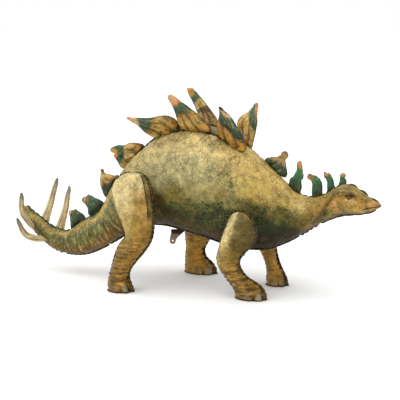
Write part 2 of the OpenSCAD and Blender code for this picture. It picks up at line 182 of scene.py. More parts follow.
def film(name, points, chart, body, material, core=None, print_and_shade_values=None, stands_for=()):
    """A piece of film from a grid of points, one quad to a cell. chart is its UV grid, the named values
    on its points hold print, painted shade and painted light, core is what the faces turn away from."""
    rows, columns = points.shape[:2]
    core = points.mean(axis=1, keepdims=True) if core is None else core
    number = np.arange(rows * columns).reshape(rows, columns)
    quads = np.stack([number[:-1, :-1], number[1:, :-1], number[1:, 1:], number[:-1, 1:]], -1).reshape(-1, 4)
    facing = np.cross(points[1:, :-1] - points[:-1, :-1], points[:-1, 1:] - points[:-1, :-1])
    if np.sum(facing * (points - core)[:-1, :-1]) < 0:
        quads = quads[:, ::-1]
    mesh = bpy.data.meshes.new(name)
    mesh.vertices.add(rows * columns)
    mesh.vertices.foreach_set("co", points.reshape(-1).astype(np.float32))
    mesh.loops.add(quads.size)
    mesh.loops.foreach_set("vertex_index", quads.reshape(-1))
    mesh.polygons.add(len(quads))
    mesh.polygons.foreach_set("loop_start", np.arange(0, quads.size, 4))
    mesh.update(calc_edges=True)
    corners = chart.reshape(-1, 2)[quads.reshape(-1)]
    mesh.uv_layers.new(name="chart").data.foreach_set("uv", corners.reshape(-1))
    for word, value in (print_and_shade_values or {}).items():
        layer = mesh.attributes.new(word, "FLOAT", "POINT")
        layer.data.foreach_set("value", value.reshape(-1).astype(np.float32))
    clean = bmesh.new()
    clean.from_mesh(mesh)
    bmesh.ops.remove_doubles(clean, verts=clean.verts, dist=2e-6)
    bmesh.ops.dissolve_degenerate(clean, edges=clean.edges, dist=1e-7)
    clean.to_mesh(mesh)
    clean.free()
    mesh.polygons.foreach_set("use_smooth", [True] * len(mesh.polygons))
    mesh.materials.append(material)
    piece = bpy.data.objects.new(name, mesh)
    bpy.context.scene.collection.objects.link(piece)
    if stands_for:
        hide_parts(*stands_for)
    if body:
        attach(piece, body)
    return piece


def dye(red, green, blue):
    """An ink colour given in screen values of 0 to 255, as the linear colour that a shader needs."""
    return tuple((c / 12.92 if c <= 0.04045 else ((c + 0.055) / 1.055) ** 2.4)
                 for c in (red / 255, green / 255, blue / 255)) + (1.0,)


class Ink:
    """A socket in the shader of a film. + - * on it add Math nodes, also with a number on the left."""

    def __init__(self, tree, socket=None):
        self.tree, self.socket = tree, socket

    def node(self, kind, settings=None, inputs=None, out=0):
        """Adds a node of a type: its settings first, stops among them for a ramp, then its sockets."""
        made = self.tree.nodes.new("ShaderNode" + kind)
        for key, value in (settings or {}).items():
            if key != "stops":
                setattr(made, key, value)
                continue
            knots = made.color_ramp.elements
            for at, colour in value[1:-1]:
                knots.new(at).color = colour
            for end, (at, colour) in ((0, value[0]), (-1, value[-1])):
                knots[end].position, knots[end].color = at, colour
        for key, value in (inputs or {}).items():
            if isinstance(value, Ink):
                self.tree.links.new(value.socket, made.inputs[key])
            else:
                made.inputs[key].default_value = value
        return Ink(self.tree, made.outputs[out] if len(made.outputs) else None)

    def maths(self, operation, first, second):
        return self.node("Math", {"operation": operation}, {0: first, 1: second})

    def __add__(self, other):
        return self.maths("ADD", self, other)

    def __sub__(self, other):
        return self.maths("SUBTRACT", self, other)

    def __rsub__(self, other):
        return self.maths("SUBTRACT", other, self)

    def __mul__(self, other):
        return self.maths("MULTIPLY", self, other)

    __radd__ = __add__
    __rmul__ = __mul__

    def most(self, other):
        return self.maths("MAXIMUM", self, other)

    def rise(self, low, high):
        """0 below low, 1 above high, and a smooth rise between them; the other way round if low is
        above high."""
        return self.node("MapRange", {"interpolation_type": "SMOOTHSTEP"}, {0: self, 1: low, 2: high})

    def over(self, under, top):
        """The colour top where this value is 1, and the colour under where it is 0."""
        return self.node("Mix", {"data_type": "RGBA"}, {0: self, 6: under, 7: top}, 2)

    def lit(self, factor):
        """This colour times a factor."""
        return self.node("VectorMath", {"operation": "SCALE"}, {0: self, 3: factor})

    def stops(self, *knots):
        """The colour of a ramp at this value; a knot is its place and its colour."""
        return self.node("ValToRGB", {"stops": knots}, {0: self})

    def part(self, axis):
        return self.node("SeparateXYZ", {}, {0: self}, axis)

    def noise(self, scale, detail=3.0, lacunarity=2.0, out=0):
        return self.node("TexNoise", {}, {"Vector": self, "Scale": scale, "Detail": detail,
                                          "Roughness": 0.55, "Lacunarity": lacunarity}, out)

    def cells(self, scale, feature="F1", out=0):
        return self.node("TexVoronoi", {"feature": feature}, {"Vector": self, "Scale": scale}, out)

    def printed(self, word):
        """The value that the mesh holds under a name."""
        return self.node("Attribute", {"attribute_name": word}, {}, 2)

    def charted(self):
        """The place on the piece's own chart, as a colour of two numbers."""
        return self.node("UVMap", {"uv_map": "chart"})

    def stretched(self, *scale):
        """This place scaled along each axis, so that a noise on it is drawn out."""
        return self.node("Mapping", {}, {"Vector": self, "Scale": scale})


def printed_film(name, paint, cell, grain=1.0, roughness=0.42, gloss=0.15, bump=0.5):
    """Film printed with a pebbled hide: paint gives the ink colours, cell the size of a scale in mm, grain
    how strongly the scales and mottling show, bump how deep they are embossed."""
    material = bpy.data.materials.new(name)
    material.use_nodes = True
    tree = material.node_tree
    tree.nodes.clear()
    ink = Ink(tree)
    place = ink.node("TexCoord", {}, {}, 3)
    sway = place.noise(70, 2.0, out=1).node("VectorMath", {"operation": "MULTIPLY_ADD"},
                                            {0: place.noise(90, 2.0, out=1), 1: (0.006,) * 3, 2: place})
    scales = sway.cells(1000 / cell)
    tone = sway.cells(1000 / cell, out=1).part(0)
    edge = sway.cells(1000 / cell, "DISTANCE_TO_EDGE")
    mottle = place.noise(40, 5.0)
    speck = place.noise(230, 4.0)
    colour = paint(ink, place, mottle, speck, sway)
    shade = 1.04 + (tone - 0.5) * (0.3 * grain) + (mottle - 0.5) * (1.6 * grain)
    shade = shade + (speck - 0.5) * (1.3 * grain)
    shade = shade + (place.noise(15, 3.0) - 0.5) * (0.9 * grain)
    shade = shade - speck.rise(0.54, 0.62) * (0.26 * grain) + speck.rise(0.45, 0.38) * (0.16 * grain)
    outline = sway.cells(380 / cell, "DISTANCE_TO_EDGE").rise(0.07, 0.0)
    outline = outline * place.noise(21, 2.0).rise(0.42, 0.62)
    crackle = edge.rise(0.12, 0.01) * place.noise(33, 2.0).rise(0.34, 0.6)
    shade = (shade * (1 - crackle * (0.6 * grain)) * (1 - outline * (0.3 * grain))).most(0.12)
    height = (1 - scales) * 0.7 + speck * 0.35
    relief = ink.node("Bump", {}, {"Strength": bump, "Distance": 0.0014, "Height": height})
    shader = ink.node("BsdfPrincipled", {}, {"Base Color": colour.lit(shade), "Normal": relief,
                                             "Roughness": (mottle - 0.5) * 0.3 + roughness,
                                             "Specular IOR Level": gloss})
    ink.node("OutputMaterial", {}, {"Surface": shader})
    return material


CREAM = dye(196, 178, 124)
KHAKI = dye(164, 140, 74)
GREYISH = dye(154, 144, 98)
OLIVE = dye(104, 96, 42)
UMBER = dye(66, 54, 20)
MOSS = dye(34, 44, 16)
LIME = dye(150, 148, 72)
AMBER = dye(150, 110, 38)
SOOT = dye(26, 20, 8)
BARK = dye(104, 76, 30)
GREY_GREEN = dye(96, 96, 60)
ROSE = dye(206, 152, 98)


def trunk_paint(ink, place, mottle, speck, sway):
    """Khaki back, greyish cream flank, olive belly with a netted green patch; grey-green tail, ochre head."""
    down = ink.charted().part(1)
    x = place.part(0)
    blotch = place.noise(13, 3.0)
    level = down + (blotch - 0.5) * 0.35
    # The ramps darken from the back down to the belly: print, and at the bottom partly painted shade under
    # the body.
    body = level.stops((0.02, dye(184, 162, 104)), (0.2, dye(184, 164, 108)), (0.34, GREYISH),
                       (0.46, GREYISH), (0.6, dye(112, 98, 42)), (0.8, UMBER), (0.96, UMBER))
    chest = level.stops((0.04, dye(188, 160, 92)), (0.34, KHAKI), (0.48, dye(98, 88, 36)),
                        (0.6, dye(50, 42, 12)), (0.96, dye(40, 30, 10)))
    body = x.rise(0.08, 0.26).over(body, chest)
    tail = level.stops((0.05, GREY_GREEN), (0.25, KHAKI), (0.42, GREY_GREEN), (0.6, OLIVE), (0.72, BARK),
                       (0.97, UMBER))
    head = level.stops((0.05, dye(150, 130, 76)), (0.2, dye(132, 112, 52)), (0.45, dye(148, 112, 48)),
                       (0.7, dye(168, 138, 74)), (0.95, UMBER))
    skin = x.rise(-0.14, -0.24).over(body, tail)
    skin = x.rise(0.36, 0.47).over(skin, head)
    bands = ink.charted().stretched(110, 5, 1).noise(1.0, 4.0)
    tail_part = x.rise(-0.12, -0.24) * x.rise(-0.55, -0.45)
    skin = (tail_part * bands.rise(0.5, 0.68) * 0.45).over(skin, CREAM)
    skin = (tail_part * bands.rise(0.48, 0.34) * 0.6).over(skin, UMBER)
    patch = place.noise(30, 4.0)
    green = (ink.printed("green") + (blotch - 0.5) * 1.2 + (patch - 0.5) * 2.4).rise(0.3, 0.8)
    skin = (green * 0.9).over(skin, MOSS)
    net = sway.cells(84, "DISTANCE_TO_EDGE").rise(0.15, 0.02)
    skin = (net * ink.printed("net") * patch.rise(0.36, 0.6) * 0.36).over(skin, LIME)
    skin = ((ink.printed("ochre") + (patch - 0.5) * 2.0).rise(0.25, 1.0) * 0.32).over(skin, AMBER)
    skin = ((ink.printed("light") + (patch - 0.5) * 1.6).rise(0.3, 1.0) * 0.55).over(skin, CREAM)
    skin = (patch.rise(0.46, 0.3) * 0.3).over(skin, GREY_GREEN)
    skin = (ink.printed("rose") * 0.7).over(skin, ROSE)
    dots = sway.cells(190).rise(0.42, 0.16)
    skin = (dots * x.rise(0.34, 0.42) * x.rise(0.52, 0.46) * 0.7).over(skin, UMBER)
    # Dark print, together with the painted shade of the brow, pleats, thigh front and gussets.
    skin = ((ink.printed("dark") + (speck - 0.5) * 0.3).rise(0.05, 0.85) * 0.95).over(skin, SOOT)
    skin = (ink.printed("eye") * 1.0).over(skin, dye(120, 48, 20))
    return skin


trunk_film = printed_film("trunk_film", trunk_paint, cell=8.5)
BROW = [[494, 335], [512, 341], [532, 338], [548, 329]]
MOUTH = [[572, 289], [586, 294], [600, 295], [612, 298], [622, 301]]
JAW = [[484, 318], [486, 300], [492, 286], [502, 276]]
NECK_STRIPE = [[482, 330], [468, 305], [452, 282], [436, 256], [418, 236]]
PLEATS = [[[2, 512], [-14, 478]], [[30, 508], [16, 484]], [[86, 508], [60, 478]], [[126, 492], [100, 470]]]
EYE = (528, 325)
EYEBALL = 8
NOSTRIL = (603, 312)
PUPIL = 2.3
TUBERCLES = ((182, 424, 13), (149, 398, 9), (189, 369, 9), (120, 372, 7))


def face_relief(points):
    """Brow, eyeball and cheek stand out of the film; mouth, jaw line and nostril are pressed in."""
    head = (points[..., 0] > 0.44) * np.clip(np.abs(points[..., 1]) / 0.012, 0, 1)
    eye = np.hypot(points[..., 0] / MM - EYE[0], points[..., 2] / MM - EYE[1])
    rise = 2.6 * stroke(points, BROW, 8) + 2.4 * bell(eye, EYEBALL)
    rise += 2.0 * oval(points, 518, 300, 26, 16, -12)
    rise -= 1.6 * stroke(points, JAW, 5) + 1.3 * bell(eye - 10, 2.5)
    rise -= 1.6 * stroke(points, MOUTH, 2.6)
    rise -= 1.2 * bell(np.hypot(points[..., 0] / MM - NOSTRIL[0], points[..., 2] / MM - NOSTRIL[1]), 2.6)
    return MM * head * rise


def trunk_print_and_shade_masks(points, down):
    """Where each ink and each painted shade lies on a flank, from places in side view."""
    lower = np.clip((down - 0.45) / 0.2, 0, 1)
    x, z = points[..., 0] / MM, points[..., 2] / MM
    green = 0.95 * oval(points, 185, 296, 105, 84, -20) + 0.7 * oval(points, 90, 262, 140, 50, -8)
    green += 1.4 * oval(points, 315, 252, 84, 50, 15) + 0.55 * oval(points, 270, 385, 30, 24, -50)
    green += 0.5 * oval(points, 440, 262, 40, 22, 40) + 0.5 * oval(points, -380, 140, 50, 30, 10)
    net = oval(points, 180, 300, 110, 80, -15) + 0.5 * oval(points, 60, 270, 110, 50, -5)
    ochre = 0.8 * oval(points, 140, 335, 50, 26, -20) + 0.7 * oval(points, 250, 330, 50, 40, -40)
    ochre += 0.7 * oval(points, -300, 130, 80, 26, 30) + 0.6 * oval(points, 545, 300, 40, 18, 0)
    ochre += 0.5 * oval(points, 420, 300, 50, 30, 0)
    light = 0.45 * oval(points, 60, 410, 130, 60, -10) + 0.5 * oval(points, -250, 225, 60, 26, 50)
    light += 0.55 * oval(points, 530, 312, 30, 9, -10) + 0.5 * oval(points, 380, 280, 50, 26, 20)
    rose = oval(points, 598, 306, 18, 13, 0) + 0.8 * stroke(points, JAW, 4) * (x > 470)
    light_lid = 0.8 * stroke(points, [[520, 320], [529, 317], [538, 320]], 2.4)
    light_lid += 0.4 * stroke(points, [[500, 342], [524, 346], [552, 336], [578, 322]], 4)
    eye = np.hypot(x - EYE[0], z - EYE[1])
    # Painted shadow along the raised brow.
    dark = 0.42 * stroke(points, BROW, 4) * (np.abs(points[..., 1]) > 0.012)
    dark += 0.9 * stroke(points, MOUTH, 2.0) + 0.85 * bell(eye - 5.6, 1.6) + (eye < PUPIL)
    dark += 0.8 * stroke(points, [[518, 328], [524, 332], [532, 332], [538, 328]], 2.4)
    dark += 0.35 * stroke(points, JAW, 2.5) * (x > 470)
    dark += 0.35 * oval(points, 514, 331, 10, 5, 20) + 0.3 * oval(points, 541, 329, 10, 4, -25)
    dark += 0.5 * stroke(points, NECK_STRIPE, 8) * (x > 410)
    # Painted shade on the flank just in front of the hind thigh.
    dark += 0.5 * oval(points, -48, 278, 24, 60, 25)
    dark += 0.4 * oval(points, 300, 205, 60, 16, 8)
    # Painted shade in the pressed-in pleats below the back plates.
    for pleat in PLEATS:
        dark += 0.5 * stroke(points, pleat, 2.2) * (down < 0.4)
    dark += 0.6 * np.exp(-down / 0.018) * np.clip((230 - x) / 60, 0, 1) + 0.6 * np.exp((down - 1) / 0.02)
    for cx, cz, radius in TUBERCLES:
        dark += 0.5 * bell(np.hypot(x - cx, z - cz) - radius, 2.4)
    light = light - 2.0 * (eye < 7) + 1.6 * light_lid
    return {"green": green * np.maximum(lower, 0.35), "net": net.clip(0, 1), "ochre": ochre.clip(0, 1),
            "light": light.clip(0, 1.4), "rose": rose.clip(0, 1), "dark": dark.clip(0, 1),
            "eye": np.exp(-((eye / 4.6) ** 4)) * (eye > PUPIL)}


DIP_FRONT = 0.215


def dip_share(points):
    """Share of the dip at a plate row's seam: 1 beside the rows, falling evenly to 0.12 at DIP_FRONT."""
    return np.clip((DIP_FRONT - points[..., 0]) / 0.03, 0.12, 1)


def flank(name, side, node):
    """One flank: trunk points from the back edge down to the belly edge, its ends closed to a point,
    moved out along the normal by the dips, puckers, pleats and face."""
    place = even_places(TRUNK, 0, NOSE, 640)[:, None]
    down = np.linspace(0, 1, 100)[None, :]
    turn = side * (back_edge(place) * (1 - down) + belly_edge(place) * down)
    points = trunk_point(np.broadcast_to(place, turn.shape), turn)
    core = trunk_point(place, 90.0) * (1, 0, 1)
    run = run_along(core)
    drop = run_along(points, axis=1)
    girth = drop[:, -1:]
    size = np.clip(girth / 0.25, 0.12, 1)
    rise = seam_relief(drop, run, 1.0 + side) * size * dip_share(points)
    rise += seam_relief(girth - drop, run, 3.0 - side) * size
    rise += 0.0016 * size * ripple(points, 0.09, 5) + 0.0005 * ripple(points, 0.022, 6) * size
    tail = np.clip((-0.14 - points[..., 0]) / 0.1, 0, 1) * np.sin(np.pi * down)
    rise += tail * 0.0007 * np.sin(2 * np.pi * run / 0.019 + 1.6 * ripple(points, 0.07, 8))
    for pleat in PLEATS:
        rise -= 0.0022 * stroke(points, pleat, 3.2) * (down < 0.4)
    rise += face_relief(points)
    print_and_shade_values = trunk_print_and_shade_masks(points, down)
    points = points + outward(points, core) * rise[..., None]
    points[0], points[-1] = core[0], core[-1]
    chart = np.stack([run + 0 * down, 0 * run + down], -1)
    film(name, points, chart, "trunk", trunk_film, core, print_and_shade_values, [node])


flank("right_flank_skin", -1, "right_flank")
flank("left_flank_skin", 1, "left_flank")

# The film is pushed in behind the valve flange, so that the stem has room when it is pressed home.
POCKET_X = 180
POCKET_RADIUS = 16
POCKET_FADE = 5
POCKET_DEPTH = 0.042


def gusset(name, start, end, edges, rows, columns, node, shade):
    """A long leaf of film between the flanks, with a dip at both edges and, under the belly, a round
    pocket behind the valve; shade is where it lies down the print."""
    place = even_places(TRUNK, start, end, rows)[:, None]
    across = np.linspace(0, 1, columns)[None, :]
    low, high = edges(place)
    turn = low * (1 - across) + high * across
    points = trunk_point(np.broadcast_to(place, turn.shape), turn)
    core = trunk_point(place, 90.0) * (1, 0, 1)
    run, drop = run_along(core), run_along(points, axis=1)
    girth = drop[:, -1:]
    size = np.clip(girth / 0.06, 0, 1)
    under = shade > 0.5
    plain = 1 if under else dip_share(points)
    rise = (seam_relief(drop, run, 0.0) + seam_relief(girth - drop, run, 4.0)) * size * plain
    rise += 0.0008 * size * ripple(points, 0.06, 11)
    off_valve = np.hypot(points[..., 0] / MM - POCKET_X, points[..., 1] / MM)
    rise -= POCKET_DEPTH * np.clip((POCKET_RADIUS - off_valve) / POCKET_FADE, 0, 1) * under
    print_and_shade_values = trunk_print_and_shade_masks(points, 0 * drop + shade)
    # Painted shade: the back gusset between the plates and the belly gusset underneath are darkened all over,
    # more at their seams.
    seams = 0.5 + 0.4 * np.exp(-drop / 0.004) + 0.5 * np.exp((drop - girth) / 0.004)
    print_and_shade_values["dark"] = seams * (1 if under else np.clip((0.2 - points[..., 0]) / 0.03, 0, 1))
    points = points + outward(points, core) * rise[..., None]
    chart = np.stack([run + 0 * across, shade + 0 * turn], -1)
    film(name, points, chart, "trunk", trunk_film, core, print_and_shade_values, [node])


gusset("back_gusset_skin", 12, 20, lambda p: (-back_edge(p), back_edge(p)), 220, 32,
       "back_gusset", 0.08)
gusset("belly_gusset_skin", 8, 22, lambda p: (belly_edge(p), 360 - belly_edge(p)), 330, 44,
       "belly_gusset", 0.9)


# Weld flanges: where two panels are welded, their edges stand out as a thin double strip of film.
# The tension of the air draws each strip into scallops between the puckers. Most are printed dark brown.

def flange_paint(ink, place, mottle, speck, sway):
    return mottle.rise(0.35, 0.7).over(dye(36, 30, 16), dye(72, 58, 28))


def green_flange_paint(ink, place, mottle, speck, sway):
    return mottle.rise(0.4, 0.65).over(dye(34, 54, 32), dye(104, 108, 56))


flange_film = printed_film("flange_film", flange_paint, cell=5, grain=0.6, roughness=0.36,
                           gloss=0.3, bump=0.2)
green_flange_film = printed_film("green_flange_film", green_flange_paint, cell=5, grain=0.6, roughness=0.36,
                                 gloss=0.3, bump=0.2)
FLANGE_THICK = 0.0013
LEAF = np.array([[-0.5, -0.4], [-0.5, 0.35], [-0.4, 0.8], [0.0, 1.0], [0.4, 0.8], [0.5, 0.35], [0.5, -0.4],
                 [-0.5, -0.4]])


def flange(name, base, out, width, pitch, body, material, node=None, cut=0.4, sway=0.0012):
    """A strip along base that stands out by width; its edge is scalloped every pitch as the size of a sine
    wave, cut being the share of the width that a notch takes, and its section is a thin leaf."""
    side = unit(np.cross(np.gradient(base, axis=0), out), 1e-9)
    run = run_along(base)
    end = np.minimum(run, run[-1] - run)
    fade = np.clip(end / 0.008, 0, 1) ** 0.5
    phase = np.pi * run / pitch + 0.6 * np.sin(run / 0.07)
    tall = width * fade * (1 - cut + cut * np.abs(np.sin(phase)) ** 0.8)
    bend = sway * fade * np.sin(2 * phase + 1.0)
    thick = FLANGE_THICK * fade
    points = (base[:, None] + out[:, None] * (LEAF[None, :, 1] * tall[:, None])[..., None]
              + side[:, None] * (LEAF[None, :, 0] * thick[:, None]
                                 + LEAF[None, :, 1].clip(0) * bend[:, None])[..., None])
    chart = np.stack([run[:, None] + 0 * LEAF[None, :, 0], 0 * run[:, None] + np.linspace(0, 1, 8)], -1)
    film(name, points, chart, body, material, None, None, [node] if node else ())


TRUNK_ROOT = 0.0028


def trunk_flange(node, start, end, turn, width, pitch, material=flange_film, cut=0.4,
                 word="weld"):
    """A flange on the trunk between two stations, at the angle turn gives for each place."""
    place = even_places(TRUNK, start, end, int(60 * (end - start)))
    angle = turn(place)
    base = trunk_point(place, angle)
    nearby = trunk_point(place, angle + 1.0)
    out = unit(np.cross(np.gradient(base, axis=0), nearby - base))
    core = trunk_point(place, 90.0 + 0 * place) * (1, 0, 1)
    out *= np.sign(np.sum(out * (base - core), -1, keepdims=True))
    flange(f"{node}_{word}", base - TRUNK_ROOT * out, out, width + TRUNK_ROOT, pitch, "trunk", material,
           node, cut)


def plain_flange_paint(ink, place, mottle, speck, sway):
    return mottle.rise(0.3, 0.7).over(dye(146, 124, 70), dye(178, 152, 92))


plain_flange_film = printed_film("plain_flange_film", plain_flange_paint, cell=5, grain=0.8)
trunk_flange("right_plate_seam", 13, 17.9, lambda p: -back_edge(p), 0.002, 0.016, cut=0.2)
trunk_flange("right_plate_seam", 17.9, 20.1, lambda p: -back_edge(p), 0.0012, 0.016, plain_flange_film,
             cut=0, word="neck_weld")
trunk_flange("left_plate_seam", 18.4, 20.1, back_edge, 0.0012, 0.016, plain_flange_film, cut=0,
             word="neck_weld")
trunk_flange("left_plate_seam", 13, 18.4, back_edge, 0.002, 0.016, cut=0.2)
trunk_flange("tail_ridge_seam", 0.4, 11, lambda p: 0 * p, 0.0035, 0.022, green_flange_film)
trunk_flange("neck_ridge_seam", 20.5, 25, lambda p: 0 * p, 0.004, 0.02, green_flange_film)
trunk_flange("snout_seam", 25.2, 29.4, lambda p: 0 * p, 0.005, 0.042, cut=0.8)
trunk_flange("right_belly_seam", 8, 22, lambda p: -belly_edge(p), 0.003, 0.017, cut=0.15)
trunk_flange("left_belly_seam", 8, 22, belly_edge, 0.003, 0.017, cut=0.15)
trunk_flange("tail_keel_seam", 2, 5.6, lambda p: 180 + 0 * p, 0.0052, 0.0165)
trunk_flange("tail_keel_seam", 5.6, 8, lambda p: 180 + 0 * p, 0.0045, 0.0165, cut=0.08, word="root_weld")
trunk_flange("throat_seam", 22, 23.4, lambda p: 180 + 0 * p, 0.005, 0.018)
trunk_flange("throat_seam", 23.4, 28.6, lambda p: 180 + 0 * p, 0.0045, 0.03, cut=0.1, word="front_weld")


# Legs: each is a closed bag of film, an outer and an inner panel with a narrow gusset down the front,
# welded to a stitched-looking scalloped sole. The film wrinkles across the knee and above the foot.

HIND = [[-126, 385, 0, 5, 5], [-125, 379, 2, 30, 18], [-129, 359, 3, 55, 28], [-130, 327, 4, 66, 35],
        [-121, 280, 4, 66, 38], [-114, 239, 1, 58, 38]]
HIP = (-118, 327)
RIGHT_HIND = [[-107, 197, -2, 48, 35], [-112, 170, -10, 43, 33], [-134, 140, -14, 43, 32],
              [-155, 108, -12, 38, 30], [-171, 75, -7, 32, 29], [-178, 44, 2, 34, 31],
              [-177, 18, 4, 41, 35], [-173, 3.2, 0, 43, 37]]
LEFT_HIND = [[-46, 197, 12, 52, 36], [-38, 166, 0, 49, 35], [-38, 134, -2, 46, 33], [-42, 107, 0, 40, 32],
             [-47, 83, 0, 33, 30], [-46, 54, 4, 37, 30], [-35, 34, 3, 48, 33], [-29, 17, 2, 55, 37],
             [-27, 3.2, 0, 57, 38]]
FRONT_TOP = [[222, 281, 0, 5, 5], [225, 275, 0, 20, 14], [227, 262, 0, 35, 21], [228, 236, 0, 47, 27]]
RIGHT_FRONT = FRONT_TOP + [
    [214, 189, 5, 56, 29], [196, 158, 7, 51, 30], [178, 130, 12, 44, 30], [173, 105, 16, 35, 28],
    [185, 77, 25, 30, 27], [207, 51, 28, 30, 28], [232, 32, 16, 42, 31], [242, 16, 5, 49, 34],
    [243, 3.2, 0, 49, 34]]
LEFT_FRONT = FRONT_TOP + [
    [217, 189, 2, 50, 29], [214, 158, 2, 42, 30], [224, 130, 8, 33, 30], [234, 108, 12, 26, 28],
    [247, 74, 12, 23, 27], [257, 46, 12, 26, 28], [263, 22, 5, 33, 31], [266, 3.2, 0, 36, 33]]


def swung(rows, angle):
    """Rows of a leg turned forward about the hip by angle degrees."""
    c, s = math.cos(math.radians(angle)), math.sin(math.radians(angle))
    return [[HIP[0] + (x - HIP[0]) * c - (z - HIP[1]) * s, HIP[1] + (x - HIP[0]) * s + (z - HIP[1]) * c,
             lean + angle, ha, hb] for x, z, lean, ha, hb in rows]


def leg_paint(ink, place, mottle, speck, sway):
    """Cream thigh, ochre and olive down the middle, brown shank crossed by dark bars of painted shade in
    its wrinkles; painted light along the rear edge and on the shaded inner side.
    """
    down = ink.charted().part(1)
    blotch = place.noise(17, 3.0)
    level = down + (blotch - 0.5) * 0.3
    skin = level.stops((0.0, CREAM), (0.25, CREAM), (0.42, KHAKI), (0.6, dye(148, 118, 54)),
                       (0.8, dye(124, 92, 40)), (1.0, BARK))
    patch = place.noise(30, 4.0)
    ochre = ink.printed("ochre") + (blotch - 0.5) * 0.7 + (patch - 0.5)
    skin = (ochre.rise(0.15, 1.1) * 0.8).over(skin, AMBER)
    skin = ((ink.printed("green") + (patch - 0.5) * 1.4).rise(0.2, 0.9) * 0.9).over(skin, dye(112, 92, 38))
    skin = ((ink.printed("green") + (patch - 0.5) * 2.6).rise(0.7, 1.3) * 0.7).over(skin, dye(66, 56, 20))
    # Painted shade in the shank wrinkles as dark bars, with pale bars of painted highlight between them.
    bars = place.stretched(26, 26, 120).noise(1.0, 3.0)
    skin = (ink.printed("wrinkle") * bars.rise(0.5, 0.6) * 0.8).over(skin, UMBER)
    skin = (ink.printed("wrinkle") * bars.rise(0.46, 0.36) * 0.4).over(skin, dye(176, 146, 84))
    # Painted light: the inner side, which lies in shade, is brightened with a paler ochre.
    skin = (ink.printed("inner") * 0.6).over(skin, dye(186, 140, 60))
    # Painted highlight along the rear of the leg, on the side the light falls from.
    skin = (ink.printed("light") * 0.75).over(skin, CREAM)
    skin = (ink.printed("nail") * 0.9).over(skin, dye(128, 128, 108))
    return (ink.printed("dark") + (speck - 0.5) * 0.3).rise(0.15, 0.9).over(skin, SOOT)


leg_film = printed_film("leg_film", leg_paint, cell=6.5)


def sole_paint(ink, place, mottle, speck, sway):
    return mottle.rise(0.35, 0.65).over(dye(30, 24, 12), dye(66, 50, 26))


sole_film = printed_film("sole_film", sole_paint, cell=5, grain=0.6, roughness=0.4, gloss=0.25, bump=0.3)


HIND_OUT = 160
FRONT_HEIGHTS = [50, 120, 170, 232]
FRONT_OUT = [98, 105, 124, 148]


def leg_rows(rows, side, hind):
    """Station rows with the distance from the middle plane put in after z."""
    return [[x, side * (HIND_OUT if hind else np.interp(z, FRONT_HEIGHTS, FRONT_OUT)), z, lean, deep, thick]
            for x, z, lean, deep, thick in rows]


def leg_point(rows, place, turn):
    """Leg station centre + forward x half depth x cos(turn) + Y x half thickness x sin(turn); turn is 0 at
    the front."""
    x, y, z, lean, deep, thick = np.moveaxis(through(rows, place), -1, 0)
    lean, turn = np.radians(lean), np.radians(turn)
    reach = deep * np.cos(turn)
    return MM * np.stack([x + np.cos(lean) * reach, y + thick * np.sin(turn), z + np.sin(lean) * reach], -1)


GUSSET_TURN = 10
STRIP_TURN = 38
CROWN = 0.0028
TOES = 8
SOLE_HEIGHT = 0.0028
LEG_ROOT = 0.0026


